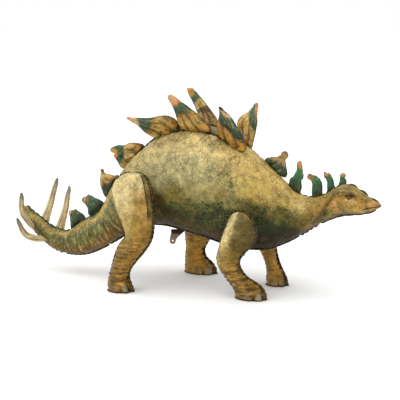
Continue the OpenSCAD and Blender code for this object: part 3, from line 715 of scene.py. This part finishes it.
def leg(name, rows, side, hind):
    """A leg bag from its top to its sole: rings of leg points, moved out by seam dips at the front gusset's
    edges and the rear, by wrinkles at the joints and by toes round the front of the foot; then its flanges
    and its sole."""
    rows = leg_rows(rows, side, hind)
    spine = [[r[0], r[2]] for r in rows]
    last = len(rows) - 1
    place = even_places(spine, 0, last, 300)[:, None]
    turn = np.linspace(-180, 180, 145)[None, :]
    points = leg_point(rows, *np.broadcast_arrays(place, turn))
    core = (leg_point(rows, place, 90.0) + leg_point(rows, place, -90.0)) / 2
    run = run_along(core)
    down = run / run[-1]
    half = np.linalg.norm(points - core, axis=-1)
    front_gap = half * np.radians(np.abs(np.abs(turn) - GUSSET_TURN))
    rear_gap = half * np.radians(180 - np.abs(turn))
    rise = seam_relief(front_gap, run, 2.0, 0.0022, 0.0012)
    rise += seam_relief(rear_gap, run, 5.0, 0.003, 0.0012)
    rise += 0.0014 * ripple(points, 0.07, 21) + 0.0004 * ripple(points, 0.02, 22)
    z = points[..., 2]
    knee = bell(down - (0.62 if hind else 0.55), 0.08)
    ankle = bell(down - 0.84, 0.1)
    fold = 0.0017 * np.sin(2 * np.pi * run / 0.0145 + 2.2 * ripple(points, 0.06, 23))
    rise += fold * (0.7 * knee + 1.0 * ankle)
    crown = np.exp(-down / 0.06) * np.sin(np.radians(turn) * 14)
    rise += CROWN * crown * np.clip(down / 0.02, 0, 1)
    ahead = np.clip(np.cos(np.radians(turn)) + 0.35, 0, 1)
    low = np.clip((0.042 - z) / 0.03, 0, 1)
    claw = np.cos(np.radians(turn) * TOES)
    rise += low * ahead * 0.0042 * claw
    top = np.clip(down / 0.03, 0, 1)
    nail = (claw > 0.45) * ahead * bell(z - 0.014, 0.009) * 1.6
    outer = np.clip(np.sin(np.radians(turn)) * side, 0, 1)
    dark = 0.95 * np.exp(-rear_gap / 0.003) + 0.8 * np.exp(-front_gap / 0.0022) + 0.8 * np.exp(-z / 0.004)
    # Painted shade on the narrow front gusset and in the grooves between the toes.
    dark += 0.3 * (np.abs(turn) < 9) * (down > 0.12) + 0.7 * low * ahead * (claw < -0.5)
    strip = hind * (np.abs(turn) < STRIP_TURN) * np.clip(down / 0.03, 0, 1)
    strip = strip * np.clip((0.46 - down) / 0.12, 0, 1)
    ticks = np.abs(np.sin(np.pi * run / 0.0125))
    dark += 0.5 * strip * (np.abs(turn) > 35 - 5 * ticks) + 0.35 * strip * (ticks < 0.25)
    # Painted shade in the crease where the top of the leg meets the flank.
    dark += 0.55 * np.exp(-down / 0.02) * (1 + 0 * turn)
    forward = np.cos(np.radians(turn))
    green = 0.8 * strip + 0.6 * oval(points, -100, 345, 16, 26) * outer
    ochre = np.clip(1.5 * forward + 0.45, 0, 1) * np.clip((down - 0.03) / 0.2, 0, 1) * 1.1
    # Painted light: a pale band just inside the rear seam, on the side the light falls from.
    light = np.exp(-rear_gap / 0.012) * 0.5 * (rear_gap > 0.004)
    if hind:
        green += 0.5 * bell(down - 0.52, 0.1) * np.clip(forward + 0.2, 0, 1)
    else:
        green += 1.4 * np.clip(0.7 - down, 0, 0.3) / 0.3 * np.clip(0.9 * forward + 0.8, 0, 1)
        green -= 0.8 * np.exp(-down / 0.05)
        ochre *= 0.8
        # Painted light down the rear side of a front leg, where the light falls from.
        light += 0.5 * np.clip(-forward - 0.2, 0, 1) * np.clip((0.62 - down) / 0.1, 0, 1)
    print_and_shade_values = {"ochre": ochre, "green": green, "light": light,
              "wrinkle": np.clip((down - 0.45) / 0.2, 0, 1) + 0 * turn,
              # Painted light on the shaded inner side.
              "inner": np.clip(-np.sin(np.radians(turn)) * side + 0.2, 0, 1) * np.clip(down / 0.1, 0, 1),
              "nail": nail.clip(0, 1), "dark": dark.clip(0, 1)}
    points = points + outward(points, core) * (rise * top)[..., None]
    points[0] = core[0]
    points[..., 2] = np.maximum(points[..., 2], SOLE_HEIGHT)
    points[:, -1] = points[:, 0]
    chart = np.stack([turn / 360 + 0.5 + 0 * down, down + 0 * turn], -1)
    body = name + "_leg"
    film(name + "_leg_skin", points, chart, body, leg_film, core, print_and_shade_values,
         [name + "_outer", name + "_inner", name + "_gusset"])
    for word, angle, width in (("rear", 180, 0.004), ("outer", GUSSET_TURN * side, 0.003),
                               ("inner", -GUSSET_TURN * side, 0.003)):
        where = even_places(spine, 0.03, last - 0.15, 240)
        base = leg_point(rows, where, angle + 0 * where)
        middle = (leg_point(rows, where, 90.0 + 0 * where) + leg_point(rows, where, -90.0 + 0 * where)) / 2
        along = unit(np.gradient(base, axis=0))
        out = unit(base - middle - np.sum((base - middle) * along, -1, keepdims=True) * along)
        flange(f"{name}_{word}_weld", base - LEG_ROOT * out, out, width + 0.0016, 0.015, body, flange_film,
               cut=0.14)
    x, y, _, _, deep, thick = rows[-1]
    around = np.linspace(0, 2 * np.pi, 241)
    radius = np.array([0, 0.6, 0.93, 1.0, 1.0, 0.93, 0.6, 0])[:, None]
    level = np.array([3.0, 3.0, 3.0, 2.2, 0.8, 0.0, 0.0, 0.0])[:, None]
    scallop = 4.0 * np.abs(np.sin(around * 14)) - 1.5 + 2.5 * np.cos(around * TOES) * (np.cos(around) > 0)
    sole = MM * np.stack([x + radius * (deep + scallop) * np.cos(around),
                          y + radius * (thick + scallop) * np.sin(around), level + 0 * around], -1)
    film(name + "_sole_film", sole, sole[..., :2] * 5, body, sole_film, sole.mean((0, 1)), None,
         [name + "_sole"])


leg("right_hind", HIND + RIGHT_HIND, -1, True)
leg("left_hind", swung(HIND, 25) + LEFT_HIND, 1, True)
leg("right_front", RIGHT_FRONT, -1, False)
leg("left_front", LEFT_FRONT, 1, False)


# Hip and shoulder welds: a leg hangs on the flank by a round patch, where the two films are welded face to
#  face. Round the patch the film is drawn in to a short gathered collar.

def collar(name, x, z, radius, near, far, side, node):
    """A short drum along Y, waisted in the middle and gathered in 16 folds, closed at both ends."""
    around = np.linspace(0, 2 * np.pi, 129)[None, :]
    across = np.linspace(0, 1, 17)[:, None]
    waist = radius * (1 - 0.18 * np.sin(np.pi * across) + 0.03 * np.sin(16 * around))
    waist = waist * np.where((across == 0) | (across == 1), 0, 1)
    points = MM * np.stack([x + waist * np.cos(around), side * (near + (far - near) * across) + 0 * around,
                            z + waist * np.sin(around)], -1)
    bare = 0 * around + 0 * across
    print_and_shade_values = {word: bare for word in ("ochre", "green", "wrinkle", "light", "inner", "nail")}
    # Painted shade: the collar sits in the gap between leg and flank and is darkened all over.
    print_and_shade_values["dark"] = 0.75 + bare
    chart = np.stack([around / 6.3 + 0 * across, across + 0 * around], -1)
    piece = film(name, points, chart, None, leg_film, points.mean((0, 1)), print_and_shade_values, [node])
    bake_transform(piece)


for word, side in (("right", -1), ("left", 1)):
    collar(word + "_hip_collar", -104, 305, 36, 104, 132, side, word + "_hip_weld")
    collar(word + "_shoulder_collar", 226, 250, 24, 100, 130, side,
           word + "_shoulder_weld")


# Back, tail and neck plates: each is a flat pocket of two films welded round its edge and blown up.
# A narrow flat rim and short puckers run round it, and its root is welded into the seam of the back.

TEAL = dye(48, 76, 50)
PINE = dye(28, 50, 28)
LEAF_GREEN = dye(36, 98, 62)
TERRACOTTA = dye(190, 128, 68)
BLUSH = dye(200, 158, 112)
HONEY = dye(168, 122, 44)
STRAW = dye(184, 152, 78)
DUSK = dye(50, 38, 14)
TAUPE = dye(124, 104, 60)


def plate_film(name, bands, slant):
    """Film printed in bands from the root of the plate to its tip, tilted by slant, with dark lines up it:
    painted shade in its wrinkles and fold valleys, with pale streaks of painted highlight between.
    """
    def paint(ink, place, mottle, speck, sway):
        chart = ink.charted()
        across, up = chart.part(0), chart.part(1)
        level = up + (across - 0.5) * slant + (place.noise(32, 3.0) - 0.5) * 0.22
        skin = level.stops(*bands)
        lines = chart.stretched(11, 4.5, 1).noise(1.0, 4.0)
        blot = place.noise(62, 4.0)
        # Painted shade in the wrinkles of the film; the pale streaks further down are painted highlights
        # between them.
        skin = ((lines.rise(0.54, 0.64) * up.rise(0.95, 0.2)) * 0.6).over(skin, DUSK)
        skin = (blot.rise(0.53, 0.64) * up.rise(1.0, 0.1) * 0.75).over(skin, DUSK)
        skin = (up.rise(0.09, 0.03) * 0.8).over(skin, DUSK)
        skin = (lines.rise(0.44, 0.32) * 0.4).over(skin, dye(196, 164, 88))
        # Painted shade along the two fold valleys.
        skin = (ink.printed("crease") * 0.75).over(skin, DUSK)
        rim = across.rise(0.055, 0.01).most(across.rise(0.945, 0.99))
        return (rim * 0.75).over(skin, DUSK)
    return printed_film(name, paint, cell=6, grain=0.75, roughness=0.36, gloss=0.3, bump=0.3)


def seam_at(x, side):
    """Point in metres on the back seam of a side, 0 for the middle, at x in mm."""
    place = np.linspace(5, 29, 4000)
    line = trunk_point(place, side * back_edge(place))
    return np.array([np.interp(MM * x, line[:, 0], line[:, axis]) for axis in range(3)])


RIM_JAG = 0.5
SMOOTHINGS = 80
RIM_WIDTH = 1.8
EDGE_ROWS = 90
ACROSS = 41


def plate(name, rear_x, front_x, side, tip, thick, rear, front, bands, slant, bow, knob):
    """A pocket on the seam from rear_x to front_x: straight lines across from its rear edge to its front
    edge, both smooth curves in the plane of the root and the tip, with a half round end of radius knob. It
    is thickest in the middle, a quarter circle towards the edges, with two folds up it, and bows out of its
    plane by bow as half a sine wave. All in mm."""
    material = plate_film(name + "_film", bands, slant)
    back, ahead, tip = seam_at(rear_x, side), seam_at(front_x, side), MM * np.array(tip, float)
    middle = (back + ahead) / 2
    along = (ahead - back) / np.linalg.norm(ahead - back)
    upward = tip - middle - ((tip - middle) @ along) * along
    upward /= np.linalg.norm(upward)
    normal = np.cross(along, upward)
    edge = [through(corners, even_places(corners, 0, len(corners) - 1, EDGE_ROWS))
            for corners in (rear, front)]
    end = np.array([(tip - middle) @ along, (tip - middle) @ upward]) / MM
    centre = (edge[0][-1] + edge[1][-1]) / 2
    bend = np.radians(np.linspace(0, 90, 13)[1:])[:, None]
    caps = [centre + (e[-1] - centre) * np.cos(bend) + (end - centre) * np.sin(bend) for e in edge]
    left, right = (np.vstack([e, cap]) for e, cap in zip(edge, caps))
    t = np.concatenate([np.linspace(0, 1, EDGE_ROWS), 1 + 0.12 * np.sin(bend[:, 0])]) / 1.12
    s = (1 - np.cos(np.pi * np.linspace(0, 1, ACROSS))) / 2
    spine = (left + right) / 2
    for _ in range(SMOOTHINGS):
        spine[1:-1] = (spine[:-2] + 2 * spine[1:-1] + spine[2:]) / 4
    run = run_along(spine)
    ball = np.sqrt(np.clip(knob ** 2 - (run[-1] - run - knob) ** 2, 0, None)) * (run[-1] - run < 2 * knob)
    apart = right - left
    half = np.maximum(np.linalg.norm(apart, axis=-1), 1e-6) / 2
    apart[-1] = apart[-2]
    ahead_way = np.gradient(spine, axis=0)
    square = unit(np.stack([ahead_way[:, 1], -ahead_way[:, 0]], -1), 1e-6)
    near_tip = np.clip(1.6 - (run[-1] - run) / (2 * knob), 0, 1)[:, None]
    apart = unit(unit(apart, 1e-6) * (1 - near_tip) + square * near_tip, 1e-6)
    half = np.maximum(half, ball)
    half[-1] = 1e-3
    left, right = spine - apart * half[:, None], spine + apart * half[:, None]
    flat = left[:, None] * (1 - s)[None, :, None] + right[:, None] * s[None, :, None]
    width = np.linalg.norm(right - left, axis=-1)[:, None]
    gap = np.minimum(s, 1 - s)[None] * width
    run = run[:, None]
    to_tip = np.maximum(run[-1] - run, 0)
    gap = np.minimum(gap, to_tip * 1.2)
    wave = np.sin(2 * np.pi * run / 10.5 + 2 * np.sin(run / 23.0) + 3 * (s > 0.5))
    swell = np.clip((gap - RIM_WIDTH) / np.maximum(np.minimum(width / 2, 30), 4), 0, 1)
    full = np.maximum(thick * np.clip(width / 62, 0.35, 1.05), 0.75 * ball[:, None])
    root = np.clip((flat[..., 1] + 4) / 14, 0.12, 1)
    dome = full * np.sqrt(1 - (1 - swell) ** 2) * root ** 0.8
    dome *= 1 - 0.28 * np.exp(-gap / 8) * (0.5 + 0.5 * wave)
    folds = [0.34 + 0.05 * np.sin(4 * t + rear_x), 0.66 + 0.06 * np.sin(5 * t + front_x)]
    valley = sum(bell(s[None] - at[:, None], 0.05) for at in folds)
    valley = valley * (np.clip(t / 0.1, 0, 1) * np.clip((0.72 - t) / 0.25, 0, 1))[:, None]
    dome *= 1 - 0.4 * valley
    pleat = np.sin(2 * np.pi * flat[..., 0] / 13 + 1.5 * np.sin(flat[..., 0] / 9))
    pleat *= np.exp(-flat[..., 1] / 22)
    dome += np.clip(pleat * 1.1, -1, 1.2) * np.clip(gap / 8, 0, 1) * root
    place = np.dstack([flat * MM, 0 * flat[..., :1]])
    crease = ripple(place, 0.035, len(name) + int(abs(rear_x))) * np.clip(gap / 10, 0, 1) * 2.0
    scallop = (RIM_JAG * wave * np.exp(-gap / 1.5))[..., None] * (right - left)[:, None]
    scallop /= np.maximum(width, 1)[..., None]
    flat = flat + scallop * np.where(s > 0.5, 1, -1)[None, :, None]
    offset = bow * np.sin(np.pi * t)[:, None]
    faces = []
    for up_side in (1, -1):
        high = offset + up_side * (dome + 0.5) + crease * (1.0 if up_side > 0 else 0.6)
        flatwise = flat[..., :1] * along + flat[..., 1:] * upward
        faces.append(middle + MM * (flatwise + high[..., None] * normal))
    points = np.concatenate([faces[0], faces[1][:, ::-1][:, 1:], faces[0][:, :1]], axis=1)
    points[-1] = points[-1].mean(axis=0)
    first = points[:1].mean(axis=1, keepdims=True) - 0.002 * upward
    points = np.concatenate([0 * points[:1] + first, points])
    # The crease mask holds painted shade along the two fold valleys.
    mark = np.concatenate([valley, valley[:, ::-1][:, 1:], valley[:, :1]], axis=1)
    print_and_shade_values = {"crease": np.concatenate([mark[:1], mark])}
    u = np.concatenate([s, s[::-1][1:], s[:1]])
    chart = np.stack(np.broadcast_arrays(u[None, :], np.concatenate([[0], t])[:, None]), -1)
    piece = film(name + "_skin", points, chart, None, material, points.mean(axis=1, keepdims=True), print_and_shade_values,
                 [name])
    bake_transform(piece)


A_BANDS = [(0.0, DUSK), (0.1, HONEY), (0.28, STRAW), (0.42, HONEY), (0.48, TEAL), (0.66, TEAL), (0.72, BLUSH),
           (0.93, TERRACOTTA), (1.0, SOOT)]
B_BANDS = [(0.0, DUSK), (0.12, HONEY), (0.3, STRAW), (0.46, HONEY), (0.54, TEAL), (0.68, TEAL),
           (0.74, TERRACOTTA), (0.88, BLUSH), (1.0, TERRACOTTA)]
C_BANDS = [(0.0, DUSK), (0.1, dye(150, 112, 46)), (0.3, dye(140, 106, 42)), (0.4, DUSK), (0.46, STRAW),
           (0.56, STRAW), (0.6, TEAL), (0.74, TEAL), (0.8, HONEY), (1.0, TERRACOTTA)]
D_BANDS = [(0.0, DUSK), (0.1, HONEY), (0.36, HONEY), (0.46, PINE), (0.74, TEAL), (0.8, TEAL), (0.86, BLUSH),
           (1.0, SOOT)]
E_BANDS = [(0.0, OLIVE), (0.14, HONEY), (0.5, STRAW), (0.58, TEAL), (0.78, TEAL), (0.84, TERRACOTTA),
           (1.0, TERRACOTTA)]
F_BANDS = [(0.0, PINE), (0.25, TEAL), (0.38, TEAL), (0.5, TAUPE), (0.66, dye(170, 142, 86)),
           (0.86, dye(150, 108, 62)), (1.0, BARK)]
G_BANDS = [(0.0, DUSK), (0.1, HONEY), (0.2, dye(204, 172, 104)), (0.42, dye(196, 162, 92)), (0.5, TEAL),
           (0.68, TEAL), (0.76, HONEY), (1.0, TERRACOTTA)]
H_BANDS = [(0.0, PINE), (0.25, PINE), (0.36, HONEY), (0.66, STRAW), (0.8, TAUPE), (1.0, dye(96, 84, 62))]
GREEN_BANDS = [(0.0, PINE), (0.2, dye(32, 70, 46)), (0.48, LEAF_GREEN), (0.64, LEAF_GREEN), (0.72, TAUPE),
               (0.86, dye(178, 126, 74)), (1.0, BARK)]
TAIL_BANDS = [(0.0, PINE), (0.2, dye(30, 66, 44)), (0.5, dye(36, 84, 56)), (0.62, dye(44, 78, 52)),
              (0.7, TAUPE), (0.78, dye(76, 60, 36)), (0.87, dye(186, 152, 106)), (1.0, dye(88, 70, 46))]


plate("back_plate_1", -104, -18, -1, (-178, -95, 544), 13,
      [[-46, -3], [-57, 22], [-64, 45], [-70, 70], [-80, 90], [-90, 104]],
      [[50, -2], [60, 25], [62, 46], [50, 66], [25, 78], [-2, 75], [-26, 85], [-50, 96], [-76, 103]],
      A_BANDS, -0.25, 6, 4.0)
plate("back_plate_2", -2, 85, -1, (-32, -100, 620), 14,
      [[-46, -3], [-58, 22], [-61, 45], [-64, 68], [-72, 92], [-84, 112]],
      [[46, -3], [54, 14], [45, 34], [30, 52], [10, 70], [-10, 88], [-34, 104], [-58, 118]],
      B_BANDS, -0.1, 5, 9.0)
plate("back_plate_3", 0, 78, 1, (-39, 90, 632), 14,
      [[-38, -3], [-34, 25], [-52, 62], [-68, 85], [-82, 104], [-94, 120]],
      [[40, -3], [38, 18], [28, 36], [8, 55], [-12, 75], [-34, 96], [-58, 114], [-76, 126]],
      C_BANDS, -0.1, -5, 11.0)
plate("back_plate_4", 116, 190, -1, (134, -95, 590), 13,
      [[-38, -3], [-50, 12], [-60, 36], [-65, 62], [-68, 84], [-78, 100]],
      [[44, -5], [54, 10], [50, 30], [28, 56], [-2, 80], [-32, 100], [-62, 106]],
      D_BANDS, 0.3, 5, 3.0)
plate("back_plate_5", 122, 196, 1, (186, 105, 589), 12,
      [[-36, -3], [-30, 22], [-54, 42], [-58, 68], [-48, 90], [-46, 112], [-46, 126]],
      [[40, -5], [40, 10], [27, 32], [13, 56], [0, 82], [-18, 104], [-30, 124]],
      E_BANDS, 0.35, -5, 6.0)
plate("shoulder_plate", 250, 292, 1, (317, 22, 446), 10,
      [[-30, -3], [-40, 0], [-36, 12], [-24, 28], [-12, 42], [-8, 54], [-7, 61]],
      [[28, -3], [52, 8], [50, 22], [34, 34], [18, 44], [13, 54], [13, 61]],
      F_BANDS, -0.2, 2, 13.0)
plate("hip_plate", -228, -170, 0, (-264, -34, 424), 12,
      [[-42, -3], [-52, 12], [-42, 34], [-33, 60], [-30, 72]],
      [[42, -3], [62, 4], [54, 26], [40, 46], [20, 54], [12, 66], [-8, 73]],
      G_BANDS, -0.35, 3, 7.0)
plate("tail_plate_3", -300, -256, 0, (-318, 0, 362), 9,
      [[-40, -3], [-38, 10], [-24, 32], [-8, 48], [14, 60], [30, 66]],
      [[42, -3], [54, 6], [42, 18], [38, 32], [30, 46], [34, 60]],
      H_BANDS, 0.3, 2, 6.5)
plate("tail_plate_2", -363, -315, 0, (-385, 0, 264), 8,
      [[-30, -3], [-30, 14], [-20, 28], [-20, 42], [-24, 54]],
      [[32, -3], [42, 8], [36, 24], [26, 40], [18, 54], [6, 62]],
      TAIL_BANDS, -0.2, 2, 10.0)
plate("tail_plate_1", -439, -382, 0, (-436, 0, 215), 7,
      [[-33, -3], [-30, 6], [-22, 18], [-14, 30], [-11, 42], [-6, 49]],
      [[34, -3], [40, 6], [38, 20], [32, 32], [26, 43], [16, 50]],
      TAIL_BANDS, -0.3, 2, 10.0)
plate("neck_plate_1", 328, 368, 0, (362, 0, 423), 8,
      [[-24, -3], [-24, 8], [-30, 18], [-26, 36], [-27, 54], [-37, 70], [-40, 80]],
      [[24, -3], [20, 12], [12, 26], [3, 36], [4, 50], [-12, 66], [-28, 80]],
      GREEN_BANDS, 0.0, 1, 8.0)
plate("neck_plate_2", 405, 437, 0, (406, 0, 380), 7,
      [[-16, -3], [-14, 14], [-10, 28], [-6, 42], [-10, 52], [-20, 56]],
      [[17, -3], [21, 14], [25, 34], [22, 50], [10, 64], [-12, 70]],
      GREEN_BANDS, -0.1, 1, 9.0)
plate("neck_plate_3", 447, 477, 0, (449, 0, 392), 7,
      [[-18, -3], [-6, 8], [2, 20], [10, 32], [8, 44], [12, 52]],
      [[18, -3], [22, 8], [28, 22], [30, 38], [28, 50], [24, 57]],
      GREEN_BANDS, 0.0, 1, 9.0)
plate("neck_plate_4", 486, 509, 0, (502, 0, 394), 6,
      [[-12, -3], [-9, 4], [-2, 12], [3, 22], [10, 30]],
      [[13, -3], [17, 2], [20, 10], [18, 20], [24, 30]],
      GREEN_BANDS, -0.1, 1, 9.0)


# Tail spikes: long cones of bone-coloured film, each two panels welded down its sides and blown up hard.
# The left ones widen where they are welded to the tail, the right ones are drawn in there, and the tips
# are printed grey.

def spike_paint(ink, place, mottle, speck, sway):
    chart = ink.charted()
    across, up = chart.part(0), chart.part(1)
    lines = chart.stretched(20, 2.4, 1).noise(1.0, 4.0)
    skin = lines.rise(0.42, 0.66).over(dye(204, 186, 140), dye(148, 118, 72))
    skin = (mottle.rise(0.5, 0.64) * 0.5).over(skin, dye(122, 94, 52))
    skin = (up + (mottle - 0.5) * 0.3).rise(0.66, 0.98).over(skin, dye(108, 104, 84))
    skin = ((up + (mottle - 0.5) * 0.2).rise(0.12, 0.0) * 0.5).over(skin, dye(130, 100, 52))
    weld = across.node("Math", {"operation": "PINGPONG"}, {0: across, 1: 0.25}).rise(0.22, 0.245)
    return (weld * 0.8).over(skin, dye(70, 58, 32))


spike_film = printed_film("spike_film", spike_paint, cell=5, grain=0.35, roughness=0.34, gloss=0.3,
                          bump=0.2)
SPIKE_RADIUS = 14.3
RIB = 1.3


def spike(name, hinge, halfway, tip, flare):
    """A bent cone: circles along the arc through hinge, halfway and tip, wider at the root where flare is
    above 0 and thinner there where it is below, closing to the tip, a little wider across than deep, with
    a fine rib down each side where the two panels are welded."""
    path = MM * np.array([hinge, halfway, tip], float)
    t = np.concatenate([np.linspace(0, 0.9, 80), 0.9 + 0.1 * np.sin(np.radians(np.linspace(0, 90, 14)[1:]))])
    centre = through(path, 2 * t)
    along = unit(np.gradient(centre, t, axis=0))
    first = unit(np.cross(along, (0.0, 1.0, 0.15)))
    second = np.cross(along, first)
    around = np.linspace(0, 2 * np.pi, 73)
    radius = 0.42 * (1 - t) + 0.54 * np.sqrt(np.maximum(1 - t ** 8, 0)) + flare * np.exp(-t / 0.13)
    radius = SPIKE_RADIUS * radius
    run = run_along(centre)
    rib = RIB * bell(np.sin(around[None]), 0.10) * np.clip(radius / 6, 0, 1)[:, None]
    rib *= 1 + 0.5 * np.sin(2 * np.pi * run / 0.011)[:, None]
    wide = radius[:, None] + rib
    ring = np.cos(around)[None, :, None] * first[:, None] * 1.08
    ring = ring + np.sin(around)[None, :, None] * second[:, None] * 0.92
    points = centre[:, None] + MM * wide[..., None] * ring
    lumps = 0.0006 * ripple(points, 0.03, len(name))
    points = points + outward(points, centre[:, None]) * lumps[..., None]
    points[0], points[-1] = centre[0] - 0.006 * along[0], centre[-1]
    points[:, -1] = points[:, 0]
    chart = np.stack(np.broadcast_arrays((around / (2 * np.pi))[None], t[:, None]), -1)
    piece = film(name + "_skin", points, chart, None, spike_film, centre[:, None], None, [name])
    path[0] - 0.004 * along[0]
    path[0] + 0.022 * along[0]
    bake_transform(piece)


spike("spike_right_end", (-566, -27, 142), (-580, -75, 210), (-554, -120, 286), -0.86)
spike("spike_left_end", (-566, 27, 142), (-562, 75, 208), (-554, 120, 302), 0.75)
spike("spike_right_fore", (-512, -34, 112), (-566, -76, 132), (-575, -120, 198), -0.86)
spike("spike_left_fore", (-512, 34, 112), (-502, 72, 190), (-507, 120, 276), 0.75)


# Tether tab: a lobe of clear brown vinyl welded into the belly seam, with a punched hole for a cord.

def tab_paint(ink, place, mottle, speck, sway):
    z = place.part(2)
    # Darker at the top: painted shadow of the belly over the tab.
    return z.rise(0.158, 0.166).over(dye(128, 110, 92), dye(40, 28, 18))


tab_film = printed_film("tab_film", tab_paint, cell=9, grain=0.25, roughness=0.25, gloss=0.5, bump=0.1)
TAB_HOLE_X = -0.062
TAB_HOLE_Z = 0.139
HOLE_RADIUS = 0.003
HALF_THICK = 0.00075
TAB_RIM = [[11, 0], [8, -8], [0, -11], [-8, -8], [-11, 0], [-9, 14], [-4, 28], [-2, 38], [42, 38], [34, 28],
           [24, 18], [15, 9], [11, 0]]


def tab():
    """A ring grid from the punched hole out to the edge of the lobe and back, a front and a back face
    about 1.5 mm apart, with a shallow sine wave out of its plane."""
    rim = MM * through(TAB_RIM, np.linspace(0, 12, 121))
    around = np.arctan2(rim[:, 1], rim[:, 0])
    hole = HOLE_RADIUS * np.stack([np.cos(around), np.sin(around)], -1)
    ring = np.array([0, 0, 0.08, 0.5, 0.92, 1, 1, 0.92, 0.5, 0.08, 0, 0])[:, None, None]
    flat = hole[None] * (1 - ring) + rim[None] * ring
    thick = np.array([-0.6, 0.6, 1, 1.2, 1.2, 0.6, -0.6, -1.2, -1.2, -1, -0.6, -0.6])[:, None]
    wave = 0.0012 * np.sin(flat[..., 1] / 0.006) * np.clip(ring[..., 0], 0, 1)
    points = np.stack([TAB_HOLE_X + flat[..., 0], HALF_THICK * thick + wave,
                       TAB_HOLE_Z + flat[..., 1]], -1)
    core = (points[1:2] + points[5:6]) / 2 * (1, 0, 1)
    piece = film("tether_tab_skin", points, flat * 5, None, tab_film, core, None, ["tether_tab", "tab_weld"])
    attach(piece, "tether_tab_body")


tab()


# Inflation valve: a moulded stem of clear vinyl on a round flange under the belly, with a push-in plug.

def valve_paint(ink, place, mottle, speck, sway):
    return mottle.rise(0.3, 0.7).over(dye(150, 132, 104), dye(118, 100, 76))


valve_film = printed_film("valve_vinyl", valve_paint, cell=4, grain=0.2, roughness=0.22, gloss=0.5, bump=0.05)
for node in ("valve_flange", "valve_stem", "valve_plug"):
    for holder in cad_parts[node].material_slots:
        holder.material = valve_film


# Studio: a plain pale floor under a broad soft light from the upper left, with an even white surround,
# and a long-lens camera that looks a little down on the right side from ahead.

bpy.context.scene.view_settings.view_transform = "Standard"
world = bpy.data.worlds.new("surround")
bpy.context.scene.world = world
world.use_nodes = True
surround = world.node_tree.nodes["Background"].inputs
surround["Color"].default_value = (1.0, 1.0, 1.0, 1.0)
surround["Strength"].default_value = 1.0

floor_mesh = bpy.data.meshes.new("floor")
FLOOR_Z = -0.0005
floor_mesh.from_pydata([(-30, -30, FLOOR_Z), (30, -30, FLOOR_Z), (30, 60, FLOOR_Z), (-30, 60, FLOOR_Z)], [],
                       [(0, 1, 2, 3)])
floor = bpy.data.objects.new("floor", floor_mesh)
bpy.context.scene.collection.objects.link(floor)
floor_paper = bpy.data.materials.new("floor_paper")
floor_paper.use_nodes = True
paper = floor_paper.node_tree.nodes["Principled BSDF"].inputs
paper["Base Color"].default_value = (0.93, 0.93, 0.92, 1.0)
paper["Roughness"].default_value = 0.8
floor_mesh.materials.append(floor_paper)


def aimed(thing, position, target):
    """Puts a light or camera at position, looking at target."""
    thing.location = position
    thing.rotation_euler = (Vector(target) - Vector(position)).to_track_quat("-Z", "Y").to_euler()
    bpy.context.scene.collection.objects.link(thing)


sun = bpy.data.objects.new("overhead_softbox", bpy.data.lights.new("overhead_softbox", "SUN"))
sun.data.energy = 1.7
sun.data.angle = math.radians(80)
aimed(sun, (-1.3, -1.5, 3.6), (0, 0, 0.2))

camera = bpy.data.objects.new("camera", bpy.data.cameras.new("camera"))
camera.data.sensor_width = 36
camera.data.lens = 95.4
turn, tilt, away = math.radians(22), math.radians(10), 3.4
target = (0.034, 0.0, 0.28)
aimed(camera, (target[0] + away * math.sin(turn) * math.cos(tilt), -away * math.cos(turn) * math.cos(tilt),
               target[2] + away * math.sin(tilt)), target)
bpy.context.scene.camera = camera
